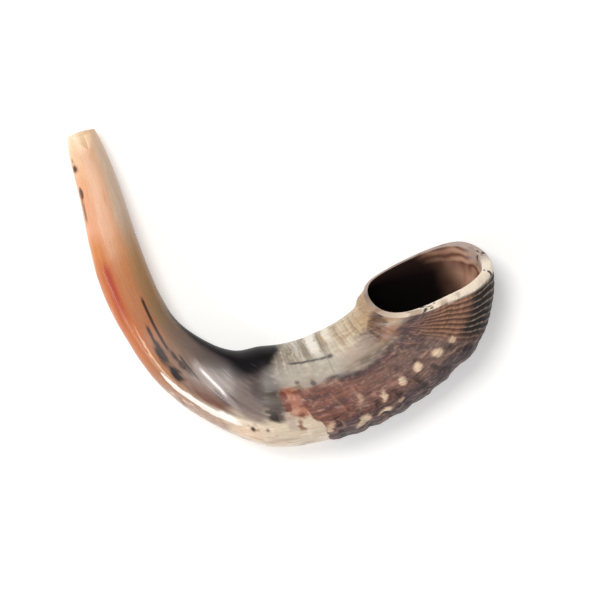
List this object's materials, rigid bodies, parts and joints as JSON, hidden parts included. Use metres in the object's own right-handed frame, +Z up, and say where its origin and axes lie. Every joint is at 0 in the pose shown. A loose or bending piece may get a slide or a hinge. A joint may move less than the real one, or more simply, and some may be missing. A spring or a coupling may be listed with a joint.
{
  "type": "shofar",
  "caption": "Ram's horn shofar lying on its side: drilled tip with a cupped mouth, polished bend, rough ribbed bell left in its natural state.",
  "frame": {"origin": "on the ground under the middle of the horn's bounding box, lying on its side", "axes": "+X from the mouth side to the bell side, +Y from the bend to the two open ends, +Z up from the ground"},
  "size_m": [0.2558, 0.1908, 0.0478],
  "materials": {
    "pale_horn": "polished pale horn",
    "amber_horn": "polished amber horn",
    "grey_horn": "polished grey and cream horn",
    "raw_horn": "raw ribbed horn",
    "banded_horn": "raw horn with fine growth lines",
    "cut_edge_horn": "smoothed pale cut edge"
  },
  "bodies": {
    "root": {"mouthpiece": "pale_horn", "stem": "amber_horn", "horn_wall": "grey_horn", "rough_rind": "raw_horn", "last_growth_band": "banded_horn", "bell_rim": "cut_edge_horn"}
  },
  "joints": []
}
